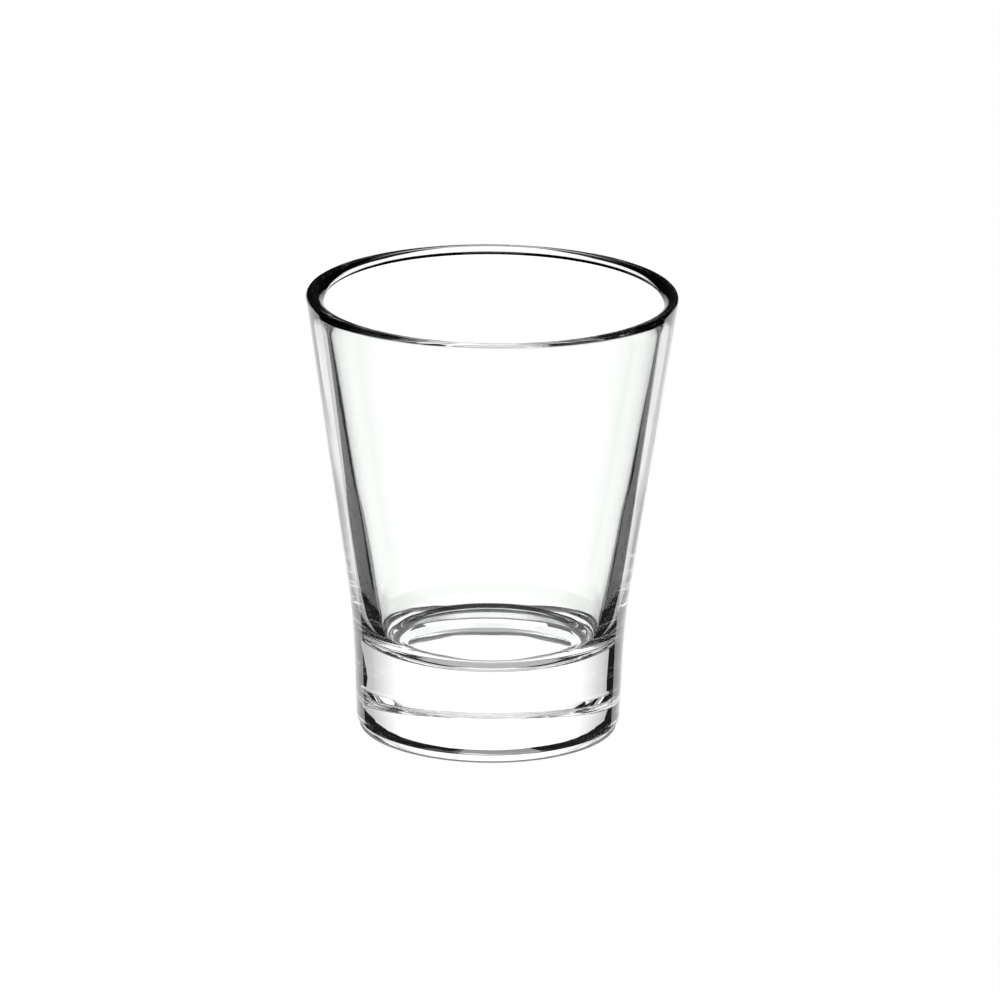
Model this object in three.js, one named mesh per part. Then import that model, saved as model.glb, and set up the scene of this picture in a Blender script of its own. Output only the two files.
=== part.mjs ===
// A small tapered coffee glass with a thick solid base, pressed in one piece of clear glass.
// Millimetres, +Z up. The origin is on the axis, on the surface that the glass stands on.
import * as THREE from "three";

// Outside
const HEIGHT = 72.6;
const RIM_DIAMETER = 60; // at its widest, just under the top
const RIM_WALL = 2.5; // thickness of the wall at the rim, before its edges are rounded
const RIM_OUTER_ROUNDING = 0.5;
const RIM_INNER_ROUNDING = 1.75;
const WAIST_DIAMETER = 44.2; // where the foot's side would meet the flared wall
const WAIST_HEIGHT = 17.7;
const WAIST_BLEND = 128; // gentle hollow curve from the foot into the wall
const FOOT_DIAMETER = 43.1; // at the top of the heel
const HEEL_BEVEL = 1.2; // width and height of the slope under the foot's edge
const HEEL_ROUNDING = 1.0;
const HEEL_EDGE_ROUNDING = 0.3; // where the heel meets the standing ring

// Underside
const BEARING_DIAMETER = 34.4; // inside of the flat ring that the glass stands on
const BEARING_ROUNDING = 0.6;
const PUNT_DIAMETER = 27.6; // where the slope from the ring meets the hollow
const PUNT_EDGE_DEPTH = 0.56;
const PUNT_BLEND = 40;
const PUNT_DEPTH = 0.7; // of the hollow in the middle

// Cavity
const FLOOR_HEIGHT = 14.4; // where the floor would meet the cavity's wall
const FLOOR_DIP = 0.65; // of the floor's middle below that
const SHOULDER_SHARE = 0.75; // of the dip that is reached half way to the axis
const SHOULDER_BLEND = 40;
const FLOOR_DIAMETER = 35.46; // where the floor would meet the cavity's wall
const CAVITY_CORNER_ROUNDING = 5.2;
const BELLY_HEIGHT = 42;
const BELLY_SWELL = 0.16; // of the cavity's wall beyond a straight line
const BELLY_BLEND = 400;

// Fineness of the mesh
const SEGMENTS = 72; // around the axis
const ARC_STEP = THREE.MathUtils.degToRad(15); // of an outline's arc

// Replaces the corner b of the path a, b, c by an arc of the given radius, limited by the two sides.
function roundedCorner(a, b, c, radius) {
  const toA = a.clone().sub(b);
  const toC = c.clone().sub(b);
  const halfAngle = Math.abs(toA.angleTo(toC)) / 2;
  const tangent = Math.min(radius / Math.tan(halfAngle), toA.length() / 2, toC.length() / 2);
  const start = b.clone().add(toA.setLength(tangent));
  const end = b.clone().add(toC.setLength(tangent));
  const bisector = toA.clone().add(toC);
  const centre = b.clone().add(bisector.setLength(tangent / Math.cos(halfAngle)));
  const from = start.clone().sub(centre);
  const to = end.clone().sub(centre);
  const sweep = Math.PI - 2 * halfAngle;
  const turn = Math.sign(from.cross(to)) * sweep;
  const steps = Math.max(2, Math.ceil(sweep / ARC_STEP));
  return Array.from({ length: steps + 1 }, (_, i) =>
    from.clone().rotateAround(new THREE.Vector2(), (turn * i) / steps).add(centre),
  );
}

// The outline of half the glass, from the middle of the underside round the rim to the middle of the floor.
function glassOutline() {
  const waistRadius = WAIST_DIAMETER / 2;
  const footRadius = FOOT_DIAMETER / 2;
  const floorRadius = FLOOR_DIAMETER / 2;
  const flare = Math.atan2(RIM_DIAMETER / 2 - waistRadius, HEIGHT - WAIST_HEIGHT);
  const lostByRounding = RIM_OUTER_ROUNDING * (Math.tan(flare) + 1 / Math.cos(flare) - 1);
  const rimRadius = RIM_DIAMETER / 2 + lostByRounding;
  const mouthRadius = rimRadius - RIM_WALL;
  const bellyShare = (BELLY_HEIGHT - FLOOR_HEIGHT) / (HEIGHT - FLOOR_HEIGHT);
  const bellyRadius = THREE.MathUtils.lerp(floorRadius, mouthRadius, bellyShare) + BELLY_SWELL;
  const corners = [
    { r: 0, z: PUNT_DEPTH },
    { r: PUNT_DIAMETER / 2, z: PUNT_EDGE_DEPTH, rounding: PUNT_BLEND },
    { r: BEARING_DIAMETER / 2, z: 0, rounding: BEARING_ROUNDING },
    { r: footRadius - HEEL_BEVEL, z: 0, rounding: HEEL_EDGE_ROUNDING },
    { r: footRadius, z: HEEL_BEVEL, rounding: HEEL_ROUNDING },
    { r: waistRadius, z: WAIST_HEIGHT, rounding: WAIST_BLEND },
    { r: rimRadius, z: HEIGHT, rounding: RIM_OUTER_ROUNDING },
    { r: mouthRadius, z: HEIGHT, rounding: RIM_INNER_ROUNDING },
    { r: bellyRadius, z: BELLY_HEIGHT, rounding: BELLY_BLEND },
    { r: floorRadius, z: FLOOR_HEIGHT, rounding: CAVITY_CORNER_ROUNDING },
    { r: floorRadius / 2, z: FLOOR_HEIGHT - FLOOR_DIP * SHOULDER_SHARE, rounding: SHOULDER_BLEND },
    { r: 0, z: FLOOR_HEIGHT - FLOOR_DIP },
  ];
  const points = corners.map(({ r, z }) => new THREE.Vector2(r, z));
  return corners.flatMap(({ rounding }, i) =>
    rounding ? roundedCorner(points[i - 1], points[i], points[i + 1], rounding) : [points[i]],
  );
}

const clearGlass = new THREE.MeshStandardMaterial({
  color: 0xf2f7f5,
  roughness: 0.02,
  metalness: 0,
  transparent: true,
  opacity: 0.3,
});

const glass = new THREE.Mesh(new THREE.LatheGeometry(glassOutline(), SEGMENTS), clearGlass);
glass.name = "glass";
glass.rotation.x = Math.PI / 2; // the lathe's axis is Y, and the glass stands along Z

const coffeeGlass = new THREE.Group();
coffeeGlass.add(glass);

export default coffeeGlass;
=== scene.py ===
"""A small pressed coffee glass on white paper, seen against white panels in a dark room."""
import math

import bpy
from mathutils import Matrix, Vector


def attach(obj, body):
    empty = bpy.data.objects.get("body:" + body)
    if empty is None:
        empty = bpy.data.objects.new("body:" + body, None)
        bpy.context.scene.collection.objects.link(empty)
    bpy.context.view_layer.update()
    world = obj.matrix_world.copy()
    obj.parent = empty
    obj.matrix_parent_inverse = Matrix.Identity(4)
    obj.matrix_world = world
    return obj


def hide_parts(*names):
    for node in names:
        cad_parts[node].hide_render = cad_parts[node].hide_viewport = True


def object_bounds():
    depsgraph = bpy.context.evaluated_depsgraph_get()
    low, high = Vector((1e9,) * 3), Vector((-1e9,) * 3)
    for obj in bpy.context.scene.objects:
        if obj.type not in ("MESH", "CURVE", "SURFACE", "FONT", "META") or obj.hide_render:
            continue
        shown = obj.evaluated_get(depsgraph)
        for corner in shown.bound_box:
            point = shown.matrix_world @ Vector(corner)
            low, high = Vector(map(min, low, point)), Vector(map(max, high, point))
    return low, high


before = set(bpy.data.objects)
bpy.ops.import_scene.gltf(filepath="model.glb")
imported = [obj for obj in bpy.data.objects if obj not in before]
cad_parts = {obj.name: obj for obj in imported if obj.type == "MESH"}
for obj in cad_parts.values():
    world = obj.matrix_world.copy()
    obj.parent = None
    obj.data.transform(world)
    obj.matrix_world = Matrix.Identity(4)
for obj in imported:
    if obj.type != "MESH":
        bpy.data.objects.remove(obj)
cad_low, cad_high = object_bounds()

MM = 0.001

# Sizes of the glass. The height comes from the frame, the rest are real sizes.
HEIGHT = cad_high.z - cad_low.z
RIM_RADIUS = 30.09 * MM
RIM_WALL = 2.5 * MM
RIM_OUTER_ROUNDING = 0.6 * MM
RIM_INNER_ROUNDING = 2.1 * MM
WAIST_RADIUS = 22.1 * MM
WAIST_HEIGHT = 17.7 * MM
WAIST_BLEND = 128 * MM
FOOT_RADIUS = 21.55 * MM
HEEL_BEVEL = 1.2 * MM
HEEL_ROUNDING = 1.0 * MM
HEEL_EDGE_ROUNDING = 0.3 * MM
BEARING_RADIUS = 17.2 * MM
BEARING_ROUNDING = 0.6 * MM
PUNT_DEPTH = 0.7 * MM
PUNT_RADIUS = 13.8 * MM
PUNT_EDGE_DEPTH = 0.56 * MM
PUNT_BLEND = 40 * MM
FLOOR_HEIGHT = 14.4 * MM
FLOOR_DIP = 0.65 * MM
SHOULDER_PLACE = 0.5
SHOULDER_SHARE = 0.75
SHOULDER_BLEND = 40 * MM
CAVITY_RADIUS = 17.73 * MM
CAVITY_ROUNDING = 5.2 * MM
BELLY_HEIGHT = 42 * MM
BELLY_SWELL = 0.16 * MM
BELLY_BLEND = 400 * MM
PLUNGER_LEAN_TOP = 0.25 * MM
PLUNGER_LEAN_FLOOR = 0.15 * MM

# Fineness of the mesh
RING_SPACING = 2.0 * MM
ARC_POINTS = 12
SEGMENTS = 384
MERGE_DISTANCE = 0.001 * MM

# The skin of pressed glass: faint upright waves of the chilled surface.
WAVE_WIDTH = 5.0 * MM
WAVE_STRETCH = 8.0
WAVE_DEPTH = 0.015 * MM
WAVE_DETAIL = 1.0
WAVE_SEED = 3.0

# The glass itself: cords of slightly greener glass, and the ring that it stands on.
GLASS_IOR = 1.52
GLASS_CLEAR = "#FEFFFE"
GLASS_CORD = "#FBFDFB"
CORD_WIDTH = 12 * MM
CORD_DETAIL = 2.0
WORN_HEIGHT = 0.03 * MM
WORN_FADE = 0.06 * MM
WORN_ROUGHNESS = 0.12

# The photograph's camera, from the outline of the glass in its frame.
IMAGE_SIDE = 1000
SENSOR_WIDTH = 36
FOCAL_PIXELS = 7136
CAMERA_DISTANCE = 1157.4 * MM
CAMERA_PITCH = math.radians(17.37)
CAMERA_AZIMUTH = math.radians(225)
CAMERA_ROLL = math.radians(0.615)
CENTRE_PIXEL = (490.24, 508.46)
CLIP_START = 0.01
CLIP_END = 100

# The floor glows, except under the foot, where its glow is switched off by radius: this paints the dark shadow
# line that the glass stands on, which the glass's real shadow on the unlit paper there deepens.
FLOOR_HALF_SIDE = 6.0
FLOOR_GAP = 0.02 * MM
FLOOR_PAPER = "#F4F4F4"
FLOOR_GLOW_SHARE = 0.99
PAINTED_SHADOW_DARK_RADIUS = 20.95 * MM
PAINTED_SHADOW_LIGHT_RADIUS = 21.05 * MM

# The room: dark as the glass shows it, but for a white wall on the camera's side.
WHITE = (1, 1, 1, 1)
MOST_BOUNCES = 20
DARK = 0.012
DAYLIGHT = 0.4
WALL_LIMIT = -0.05
WALL_LIGHT = 1.2
WALL_RISE = 0.1

# The panels stand behind, above and below the glass, as the camera sees it, each a step further than the last.
# Each has its left, right, bottom and top edge as shares of its distance, its elevation in degrees, its
# strength, the share of it left at its sides, and the least and most glass surfaces that its light has met.
PANEL_DISTANCE = 2.0
PANEL_STEP = 0.01
PANEL_EVEN_PART = 0.15
PANELS = {
    "flag": (-0.22, 0.06, -0.62, -0.43, 0, 0.0, 1.0, 0, 2),
    "back_high": (-1.17, 1.17, 0.0, 0.6, 0, 1.3, 0.6, 2, 20),
    "back_low": (-1.17, 1.17, -0.5, 0.0, 0, 1.3, 0.6, 4, 20),
    "back_straight": (-1.17, 1.17, -0.5, 0.0, 0, 1.3, 0.6, 2, 2),
    "back_gloss": (-0.9, 0.9, -0.9, 0.0, 0, 1.2, 1.0, 1, 1),
    "back_skin": (-1.17, 1.17, -0.5, 0.0, 0, 0.65, 1.0, 3, 3),
    "wing_left": (-1.35, -1.17, -0.5, 0.6, 0, 0.7, 1.0, 2, 3),
    "wing_right": (1.17, 1.9, -0.5, 0.6, 0, 0.7, 1.0, 2, 3),
    "sweep": (-0.55, 0.55, -0.9, -0.5, 0, 1.15, 1.0, 4, 20),
    "sweep_straight": (-0.55, 0.55, -0.9, -0.5, 0, 1.15, 1.0, 2, 2),
    "sweep_skin": (-0.49, 0.46, -0.9, -0.5, 0, 0.6, 1.0, 3, 3),
    "sweep_low": (-0.2, 0.2, -1.6, -0.9, 0, 1.2, 1.0, 0, 20),
    "overhead": (-0.35, 0.35, -0.1, 0.8, 90, 1.2, 0.8, 0, 5),
    "overhead_slot": (-0.4, 0.2, -1.6, -0.1, 90, 0.35, 1.0, 0, 5),
    "overhead_back": (-0.25, 0.25, -1.6, -0.1, 90, 0.1, 1.0, 0, 5),
    "overhead_deep": (-0.9, 0.9, -0.6, 1.0, 90, 1.2, 1.0, 6, 20),
    "under": (-0.67, 0.67, -0.43, 0.17, -90, 0.5, 1.0, 0, 20),
    "under_far": (-0.67, 0.67, 0.17, 0.6, -90, 0.5, 1.0, 0, 3),
    "under_deep": (-0.67, 0.67, 0.17, 0.6, -90, 0.5, 1.0, 5, 20),
}


def linear(hex_colour):
    """An sRGB hex colour as linear red, green, blue and alpha."""
    channels = [int(hex_colour[i : i + 2], 16) / 255 for i in (1, 3, 5)]
    return [c / 12.92 if c <= 0.04045 else ((c + 0.055) / 1.055) ** 2.4 for c in channels] + [1]


def add(tree, kind, inputs=(), **settings):
    """Adds a node with its settings, and sets or links the inputs that are given by name or number."""
    made = tree.nodes.new(kind)
    for name, value in settings.items():
        setattr(made, name, value)
    for key, value in dict(inputs).items():
        if isinstance(value, bpy.types.NodeSocket):
            tree.links.new(value, made.inputs[key])
        else:
            made.inputs[key].default_value = value
    return made


def outline_corners():
    """Each corner of the outline: its radius, its height, its rounding, and whether the plunger forms it."""
    rim_inside = RIM_RADIUS - RIM_WALL
    belly_share = (BELLY_HEIGHT - FLOOR_HEIGHT) / (HEIGHT - FLOOR_HEIGHT)
    belly_radius = CAVITY_RADIUS + (rim_inside - CAVITY_RADIUS) * belly_share + BELLY_SWELL
    shoulder_radius = CAVITY_RADIUS * SHOULDER_PLACE
    shoulder_height = FLOOR_HEIGHT - FLOOR_DIP * SHOULDER_SHARE
    return {
        "Punt middle": (0, PUNT_DEPTH, 0, False),
        "Punt edge": (PUNT_RADIUS, PUNT_EDGE_DEPTH, PUNT_BLEND, False),
        "Bearing inside": (BEARING_RADIUS, 0, BEARING_ROUNDING, False),
        "Bearing outside": (FOOT_RADIUS - HEEL_BEVEL, 0, HEEL_EDGE_ROUNDING, False),
        "Heel": (FOOT_RADIUS, HEEL_BEVEL, HEEL_ROUNDING, False),
        "Waist": (WAIST_RADIUS, WAIST_HEIGHT, WAIST_BLEND, False),
        "Rim outside": (RIM_RADIUS, HEIGHT, RIM_OUTER_ROUNDING, False),
        "Rim inside": (rim_inside, HEIGHT, RIM_INNER_ROUNDING, True),
        "Belly": (belly_radius, BELLY_HEIGHT, BELLY_BLEND, True),
        "Cavity corner": (CAVITY_RADIUS, FLOOR_HEIGHT, CAVITY_ROUNDING, True),
        "Floor shoulder": (shoulder_radius, shoulder_height, SHOULDER_BLEND, True),
        "Floor middle": (0, FLOOR_HEIGHT - FLOOR_DIP, 0, True),
    }


def lathe_tree(material):
    """The glass as it is turned: an outline of rounded corners, swept once round the axis."""
    tree = bpy.data.node_groups.new("pressed_glass", "GeometryNodeTree")
    tree.interface.new_socket("Geometry", in_out="OUTPUT", socket_type="NodeSocketGeometry")
    corners = outline_corners()
    right = camera_frame()[1]
    wave_height = WAVE_WIDTH * WAVE_STRETCH
    sizes = {
        "Plunger lean top": right * PLUNGER_LEAN_TOP,
        "Plunger lean floor": right * PLUNGER_LEAN_FLOOR,
        "Waves per metre": Vector((1 / WAVE_WIDTH, 1 / WAVE_WIDTH, 1 / wave_height)),
        "Wave depth": WAVE_DEPTH,
        "Ring spacing": RING_SPACING,
    }
    for name, (radius, height, rounding, _) in corners.items():
        sizes[name] = Vector((radius, height, 0))
        sizes[name + " rounding"] = rounding
    for name, value in sizes.items():
        kind = "NodeSocketVector" if isinstance(value, Vector) else "NodeSocketFloat"
        tree.interface.new_socket(name, in_out="INPUT", socket_type=kind)
    size = add(tree, "NodeGroupInput").outputs

    index = add(tree, "GeometryNodeInputIndex").outputs[0]
    places = add(tree, "GeometryNodeIndexSwitch", {"Index": index}, data_type="VECTOR")
    roundings = add(tree, "GeometryNodeIndexSwitch", {"Index": index}, data_type="FLOAT")
    plunger = add(tree, "GeometryNodeIndexSwitch", {"Index": index}, data_type="FLOAT")
    while len(places.index_switch_items) < len(corners):
        for switch in (places, roundings, plunger):
            switch.index_switch_items.new()
    for number, (name, corner) in enumerate(corners.items()):
        tree.links.new(size[name], places.inputs[str(number)])
        tree.links.new(size[name + " rounding"], roundings.inputs[str(number)])
        plunger.inputs[str(number)].default_value = corner[3]

    # The outline as a curve, beside the circle that it is swept along.
    from_circle = add(
        tree, "ShaderNodeVectorMath", {0: places.outputs[0], 1: (RIM_RADIUS, 0, 0)}, operation="SUBTRACT"
    ).outputs[0]
    turned = add(
        tree, "ShaderNodeVectorMath", {0: from_circle, 1: (1, -1, 1)}, operation="MULTIPLY"
    ).outputs[0]
    points = add(tree, "GeometryNodePoints", {"Count": len(corners), "Position": turned}).outputs[0]
    captured = add(tree, "GeometryNodeCaptureAttribute")
    captured.capture_items.new("FLOAT", "Inside")
    tree.links.new(points, captured.inputs["Geometry"])
    tree.links.new(plunger.outputs[0], captured.inputs["Inside"])
    inside = captured.outputs["Inside"]
    outline = add(tree, "GeometryNodePointsToCurves", {"Points": captured.outputs["Geometry"]}).outputs[0]
    rounded = add(
        tree,
        "GeometryNodeFilletCurve",
        {"Curve": outline, "Count": ARC_POINTS, "Radius": roundings.outputs[0], "Limit Radius": True},
        mode="POLY",
    ).outputs[0]
    position = add(tree, "GeometryNodeInputPosition").outputs[0]
    next_index = add(tree, "ShaderNodeMath", {0: index, 1: 1.0}, operation="ADD").outputs[0]
    next_point = add(
        tree, "GeometryNodeFieldAtIndex", {"Index": next_index, "Value": position}, data_type="FLOAT_VECTOR"
    ).outputs[0]
    length = add(
        tree, "ShaderNodeVectorMath", {0: position, 1: next_point}, operation="DISTANCE"
    ).outputs["Value"]
    cuts = add(tree, "ShaderNodeMath", {0: length, 1: size["Ring spacing"]}, operation="DIVIDE").outputs[0]
    fine = add(tree, "GeometryNodeSubdivideCurve", {"Curve": rounded, "Cuts": cuts}).outputs[0]

    # The sweep, closed at its seam and poles.
    circle = add(
        tree, "GeometryNodeCurvePrimitiveCircle", {"Resolution": SEGMENTS, "Radius": RIM_RADIUS}
    ).outputs[0]
    swept = add(tree, "GeometryNodeCurveToMesh", {"Curve": circle, "Profile Curve": fine}).outputs[0]
    closed = add(
        tree, "GeometryNodeMergeByDistance", {"Geometry": swept, "Distance": MERGE_DISTANCE}
    ).outputs[0]
    outward = add(tree, "GeometryNodeFlipFaces", {"Mesh": closed}).outputs[0]

    # The inside is moved by the lean of the plunger.
    height_here = add(tree, "ShaderNodeSeparateXYZ", {0: position}).outputs["Z"]
    way_up = add(
        tree, "ShaderNodeMapRange", {"Value": height_here, "From Min": FLOOR_HEIGHT, "From Max": HEIGHT}
    ).outputs[0]
    lean = add(
        tree,
        "ShaderNodeMix",
        {"Factor": way_up, 4: size["Plunger lean floor"], 5: size["Plunger lean top"]},
        data_type="VECTOR",
    ).outputs[1]
    shift = add(tree, "ShaderNodeVectorMath", {0: lean, "Scale": inside}, operation="SCALE").outputs[0]

    # The waves of the skin, which differ outside and inside.
    waves = add(
        tree, "ShaderNodeVectorMath", {0: position, 1: size["Waves per metre"]}, operation="MULTIPLY"
    ).outputs[0]
    side = add(tree, "ShaderNodeMath", {0: inside, 1: WAVE_SEED}, operation="MULTIPLY").outputs[0]
    noise = add(
        tree,
        "ShaderNodeTexNoise",
        {"Vector": waves, "W": side, "Scale": 1.0, "Detail": WAVE_DETAIL},
        noise_dimensions="4D",
    ).outputs[0]
    swing = add(tree, "ShaderNodeMapRange", {"Value": noise, "To Min": -1.0, "To Max": 1.0}).outputs[0]
    depth = add(tree, "ShaderNodeMath", {0: swing, 1: size["Wave depth"]}, operation="MULTIPLY").outputs[0]
    normal = add(tree, "GeometryNodeInputNormal").outputs[0]
    ripple = add(tree, "ShaderNodeVectorMath", {0: normal, "Scale": depth}, operation="SCALE").outputs[0]

    offset = add(tree, "ShaderNodeVectorMath", {0: shift, 1: ripple}, operation="ADD").outputs[0]
    pressed = add(tree, "GeometryNodeSetPosition", {"Geometry": outward, "Offset": offset}).outputs[0]
    smooth = add(tree, "GeometryNodeSetShadeSmooth", {"Geometry": pressed}).outputs[0]
    real = add(tree, "GeometryNodeRealizeInstances", {"Geometry": smooth}).outputs[0]
    finished = add(tree, "GeometryNodeSetMaterial", {"Geometry": real, "Material": material}).outputs[0]
    add(tree, "NodeGroupOutput", {"Geometry": finished})
    return tree, sizes


def pressed_soda_lime_glass():
    """Pressed soda-lime glass, fire polished: clear with a breath of green in its thicker parts, a glossy skin
    that mirrors its own edges, and a foot worn dull where it stands, which blurs what the foot mirrors."""
    material = bpy.data.materials.new("pressed_soda_lime_glass")
    material.use_nodes = True
    tree = material.node_tree
    shader = tree.nodes["Principled BSDF"]
    place = add(tree, "ShaderNodeTexCoord").outputs["Object"]
    cords = add(
        tree, "ShaderNodeTexNoise", {"Vector": place, "Scale": 1 / CORD_WIDTH, "Detail": CORD_DETAIL}
    ).outputs[0]
    tint = add(
        tree,
        "ShaderNodeMix",
        {"Factor": cords, 6: linear(GLASS_CLEAR), 7: linear(GLASS_CORD)},
        data_type="RGBA",
    ).outputs[2]
    height = add(tree, "ShaderNodeSeparateXYZ", {0: place}).outputs["Z"]
    worn = {"From Min": WORN_HEIGHT, "From Max": WORN_FADE, "To Min": WORN_ROUGHNESS, "To Max": 0.0}
    dull = add(tree, "ShaderNodeMapRange", {"Value": height, **worn}).outputs[0]
    tree.links.new(tint, shader.inputs["Base Color"])
    tree.links.new(dull, shader.inputs["Roughness"])
    shader.inputs["IOR"].default_value = GLASS_IOR
    shader.inputs["Transmission Weight"].default_value = 1.0
    return material


def make_glass():
    """Builds the glass with its node tree and turns it into a plain mesh."""
    material = pressed_soda_lime_glass()
    tree, sizes = lathe_tree(material)
    seed_mesh = bpy.data.meshes.new("glass_seed")
    maker = bpy.data.objects.new("glass_maker", seed_mesh)
    bpy.context.scene.collection.objects.link(maker)
    modifier = maker.modifiers.new("lathe", "NODES")
    modifier.node_group = tree
    for item in tree.interface.items_tree:
        if item.in_out == "INPUT":
            modifier[item.identifier] = sizes[item.name]
    graph = bpy.context.evaluated_depsgraph_get()
    mesh = bpy.data.meshes.new_from_object(maker.evaluated_get(graph))
    bpy.data.objects.remove(maker)
    mesh.name = "coffee_glass"
    piece = bpy.data.objects.new("coffee_glass", mesh)
    bpy.context.scene.collection.objects.link(piece)
    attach(piece, "root")
    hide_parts("glass")


def camera_frame():
    """The directions back, right and up of the camera, and its turn without the roll."""
    back = Vector(
        (
            math.sin(CAMERA_AZIMUTH) * math.cos(CAMERA_PITCH),
            -math.cos(CAMERA_AZIMUTH) * math.cos(CAMERA_PITCH),
            math.sin(CAMERA_PITCH),
        )
    )
    turn = (-back).to_track_quat("-Z", "Y")
    return back, turn @ Vector((1, 0, 0)), turn @ Vector((0, 1, 0)), turn


def make_camera():
    """The camera, aimed so that the middle of the glass falls on its pixel."""
    back, right, up, turn = camera_frame()
    data = bpy.data.cameras.new("photo_camera")
    data.sensor_width = SENSOR_WIDTH
    data.lens = SENSOR_WIDTH * FOCAL_PIXELS / IMAGE_SIDE
    data.clip_start = CLIP_START
    data.clip_end = CLIP_END
    camera = bpy.data.objects.new("photo_camera", data)
    bpy.context.scene.collection.objects.link(camera)
    pixel = CAMERA_DISTANCE / FOCAL_PIXELS
    middle = IMAGE_SIDE / 2
    aim = Vector((0, 0, HEIGHT / 2))
    aim += right * (middle - CENTRE_PIXEL[0]) * pixel + up * (CENTRE_PIXEL[1] - middle) * pixel
    place = Matrix.Translation(aim + back * CAMERA_DISTANCE)
    camera.matrix_world = place @ turn.to_matrix().to_4x4() @ Matrix.Rotation(CAMERA_ROLL, 4, "Z")
    bpy.context.scene.camera = camera


def stage_material(name):
    """A material for the stage with an empty tree."""
    material = bpy.data.materials.new(name)
    material.use_nodes = True
    material.node_tree.nodes.clear()
    return material, material.node_tree


def sheet(name, corners, material):
    """A flat sheet of the stage, with its corners at the corners of its UV map."""
    mesh = bpy.data.meshes.new(name)
    mesh.from_pydata(corners, [], [range(len(corners))])
    mesh.uv_layers.new(name="sheet")
    for loop, uv in zip(mesh.uv_layers["sheet"].data, [(0, 0), (1, 0), (1, 1), (0, 1)]):
        loop.uv = uv
    mesh.materials.append(material)
    made = bpy.data.objects.new(name, mesh)
    bpy.context.scene.collection.objects.link(made)
    return made


def floor_paper():
    """White paper that glows, but for the part under the foot, where the glow stops by radius to paint a dark
    shadow line, partly deepened by the glass's real shadow; elsewhere it keeps only a trace of the glass's
    shadow.
    """
    material, tree = stage_material("white_floor_paper")
    place = add(tree, "ShaderNodeTexCoord").outputs["Object"]
    from_axis = add(tree, "ShaderNodeVectorMath", {0: place}, operation="LENGTH").outputs["Value"]
    # Painted shadow: inside these radii under the foot the floor has no glow, so the dim paper there reads as a
    # dark line.
    painted_shadow_radii = {"From Min": PAINTED_SHADOW_DARK_RADIUS, "From Max": PAINTED_SHADOW_LIGHT_RADIUS}
    share = add(
        tree, "ShaderNodeMapRange", {"Value": from_axis, **painted_shadow_radii, "To Min": 0.0, "To Max": FLOOR_GLOW_SHARE}
    ).outputs[0]
    glow = add(tree, "ShaderNodeEmission", {"Color": WHITE, "Strength": 1.0}).outputs[0]
    paper = add(tree, "ShaderNodeBsdfDiffuse", {"Color": linear(FLOOR_PAPER)}).outputs[0]
    both = add(tree, "ShaderNodeMixShader", {"Fac": share, 1: paper, 2: glow}).outputs[0]
    add(tree, "ShaderNodeOutputMaterial", {"Surface": both})
    return material


def panel_light(name, strength, side_share, least, most):
    """A white diffuser panel, dimmer at its sides, that lights only some of the ways through the glass."""
    material, tree = stage_material(name)
    place = add(tree, "ShaderNodeUVMap", uv_map="sheet").outputs[0]
    across = add(tree, "ShaderNodeSeparateXYZ", {0: place}).outputs[0]
    from_middle = add(tree, "ShaderNodeMath", {0: across, 1: 0.5}, operation="SUBTRACT").outputs[0]
    distance = add(tree, "ShaderNodeMath", {0: from_middle}, operation="ABSOLUTE").outputs[0]
    fade = {"From Min": PANEL_EVEN_PART, "From Max": 0.5, "To Min": strength, "To Max": strength * side_share}
    level = add(
        tree, "ShaderNodeMapRange", {"Value": distance, **fade}, interpolation_type="SMOOTHSTEP"
    ).outputs[0]
    met = add(tree, "ShaderNodeLightPath").outputs["Ray Depth"]
    enough = add(tree, "ShaderNodeMath", {0: met, 1: least - 0.5}, operation="GREATER_THAN").outputs[0]
    few = add(tree, "ShaderNodeMath", {0: met, 1: most + 0.5}, operation="LESS_THAN").outputs[0]
    seen = add(tree, "ShaderNodeMath", {0: enough, 1: few}, operation="MULTIPLY").outputs[0]
    glow = add(tree, "ShaderNodeEmission", {"Color": WHITE, "Strength": level}).outputs[0]
    clear = add(tree, "ShaderNodeBsdfTransparent").outputs[0]
    both = add(tree, "ShaderNodeMixShader", {"Fac": seen, 1: clear, 2: glow}).outputs[0]
    add(tree, "ShaderNodeOutputMaterial", {"Surface": both})
    return material


def make_floor():
    """The floor, just under the foot. The glass doesn't show it: the panels below it are seen instead."""
    half = FLOOR_HALF_SIDE
    z = cad_low.z - FLOOR_GAP
    corners = [(-half, -half, z), (half, -half, z), (half, half, z), (-half, half, z)]
    floor = sheet("floor", corners, floor_paper())
    floor.visible_glossy = False
    floor.visible_transmission = False


def make_panels():
    """The panels, which only the glass shows."""
    back = camera_frame()[0]
    facing = Matrix.Rotation(math.atan2(-back.y, -back.x), 3, "Z")
    for number, (name, panel) in enumerate(PANELS.items()):
        left, right, bottom, top, elevation, strength, side_share, least, most = panel
        turn = facing @ Matrix.Rotation(-math.radians(elevation), 3, "Y")
        edges = [(left, bottom), (right, bottom), (right, top), (left, top)]
        distance = PANEL_DISTANCE * (1 + PANEL_STEP * number)
        corners = [turn @ Vector((1, -x, y)) * distance for x, y in edges]
        made = sheet(name, corners, panel_light(name, strength, side_share, least, most))
        made.visible_camera = False
        made.visible_diffuse = False
        made.visible_shadow = False


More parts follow.
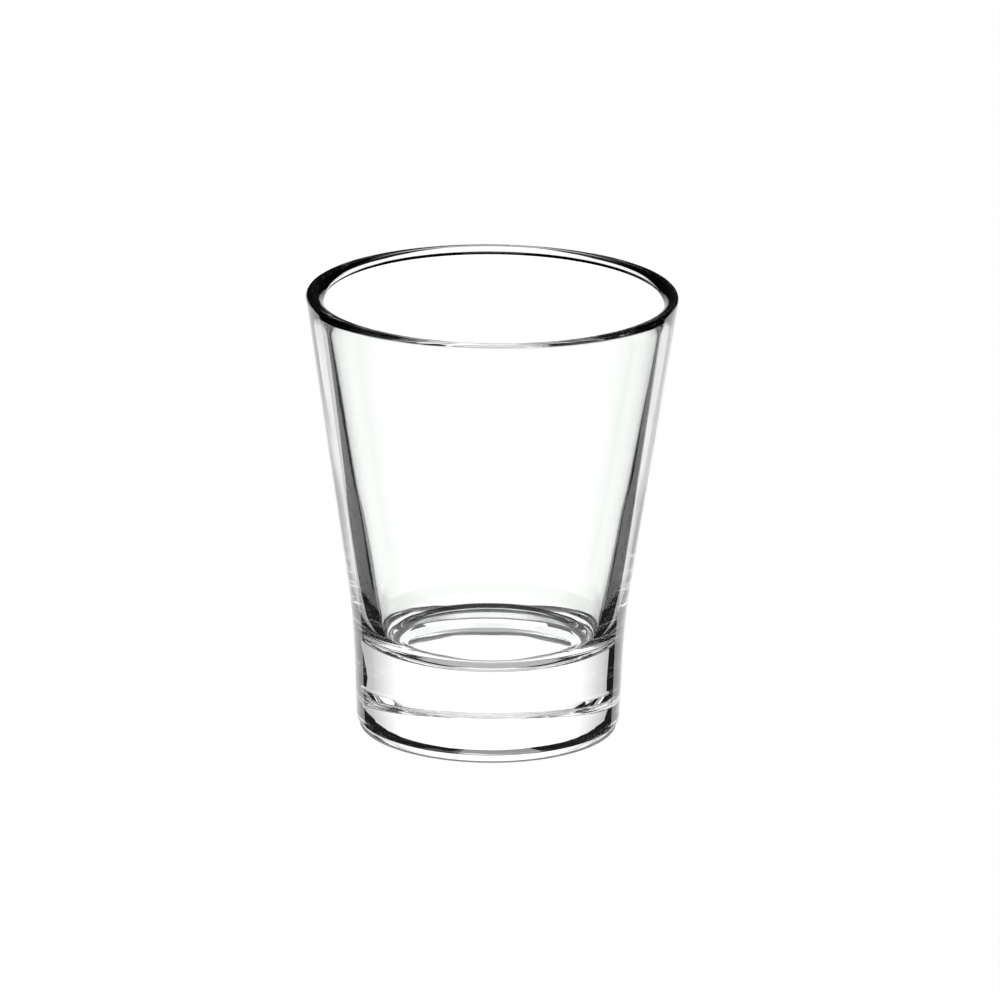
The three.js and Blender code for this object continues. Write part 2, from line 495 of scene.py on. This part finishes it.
def make_room():
    """The world: white behind the glass, daylight on the floor, and a dark room with one wall in the glass."""
    world = bpy.data.worlds.new("studio")
    bpy.context.scene.world = world
    world.use_nodes = True
    tree = world.node_tree
    tree.nodes.clear()
    path = add(tree, "ShaderNodeLightPath").outputs
    ways = {0: path["Is Transmission Ray"], 1: path["Is Glossy Ray"]}
    in_glass = add(tree, "ShaderNodeMath", ways, operation="MAXIMUM").outputs[0]

    # The wall is a direction, the side that the photograph's camera stands on.
    back = camera_frame()[0]
    way = add(tree, "ShaderNodeTexCoord").outputs["Generated"]
    to_wall = {0: way, 1: (back.x, back.y, 0)}
    towards = add(tree, "ShaderNodeVectorMath", to_wall, operation="DOT_PRODUCT").outputs["Value"]
    on_wall = add(tree, "ShaderNodeMath", {0: towards, 1: WALL_LIMIT}, operation="GREATER_THAN").outputs[0]

    # It shows straight through the glass, and where the foot mirrors it once from below.
    mirrors = path["Glossy Depth"]
    crossed = path["Transmission Depth"]
    straight = add(tree, "ShaderNodeMath", {0: mirrors, 1: 0.5}, operation="LESS_THAN").outputs[0]
    upward = add(tree, "ShaderNodeSeparateXYZ", {0: way}).outputs["Z"]
    rising = add(tree, "ShaderNodeMath", {0: upward, 1: WALL_RISE}, operation="GREATER_THAN").outputs[0]
    once = add(tree, "ShaderNodeMath", {0: mirrors, 1: 1.5}, operation="LESS_THAN").outputs[0]
    inside = add(tree, "ShaderNodeMath", {0: crossed, 1: 1.5}, operation="GREATER_THAN").outputs[0]
    mirrored = add(tree, "ShaderNodeMath", {0: rising, 1: once}, operation="MULTIPLY").outputs[0]
    in_foot = add(tree, "ShaderNodeMath", {0: mirrored, 1: inside}, operation="MULTIPLY").outputs[0]
    either = add(tree, "ShaderNodeMath", {0: straight, 1: in_foot}, operation="MAXIMUM").outputs[0]
    wall_seen = add(tree, "ShaderNodeMath", {0: on_wall, 1: either}, operation="MULTIPLY").outputs[0]

    dark_to_wall = {"Value": wall_seen, "To Min": DARK, "To Max": WALL_LIGHT}
    through = add(tree, "ShaderNodeMapRange", dark_to_wall).outputs[0]
    day_to_glass = {"Value": in_glass, "To Min": DAYLIGHT, "To Max": through}
    around = add(tree, "ShaderNodeMapRange", day_to_glass).outputs[0]
    to_eye = {"Value": path["Is Camera Ray"], "To Min": around, "To Max": 1.0}
    strength = add(tree, "ShaderNodeMapRange", to_eye).outputs[0]
    background = add(tree, "ShaderNodeBackground", {"Color": WHITE, "Strength": strength}).outputs[0]
    add(tree, "ShaderNodeOutputWorld", {"Surface": background})


make_glass()
make_camera()
make_floor()
make_panels()
make_room()
scene = bpy.context.scene
scene.view_settings.view_transform = "Standard"
scene.cycles.max_bounces = MOST_BOUNCES
scene.cycles.glossy_bounces = MOST_BOUNCES
scene.cycles.transmission_bounces = MOST_BOUNCES
